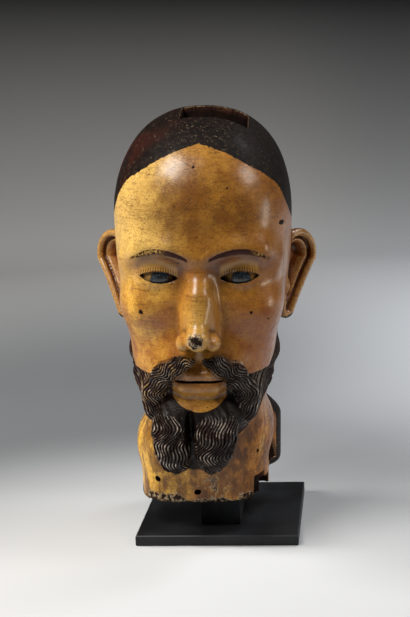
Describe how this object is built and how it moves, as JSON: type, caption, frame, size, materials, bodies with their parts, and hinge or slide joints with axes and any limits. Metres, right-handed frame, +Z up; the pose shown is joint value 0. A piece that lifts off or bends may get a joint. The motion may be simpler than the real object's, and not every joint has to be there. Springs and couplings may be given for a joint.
{
  "type": "carved wooden head on a stand",
  "caption": "Carved and painted wooden head of a bearded man with glass eyes and a forked beard, held on a flat black plate by a block in the neck.",
  "frame": {"origin": "centre of the underside of the stand's plate", "axes": "+Z up, the face looks along -Y, +X to the right of a viewer in front of the face"},
  "size_m": [0.1683, 0.2056, 0.3167],
  "materials": {
    "painted_wood": "aged paint under yellowed varnish, semi-gloss",
    "eye_glass": "painted behind, polished",
    "black_metal": "satin"
  },
  "bodies": {
    "root": {"head": "painted_wood", "left_glass_eye": "eye_glass", "right_glass_eye": "eye_glass", "stand_plate": "black_metal", "stand_post": "black_metal"}
  },
  "joints": []
}
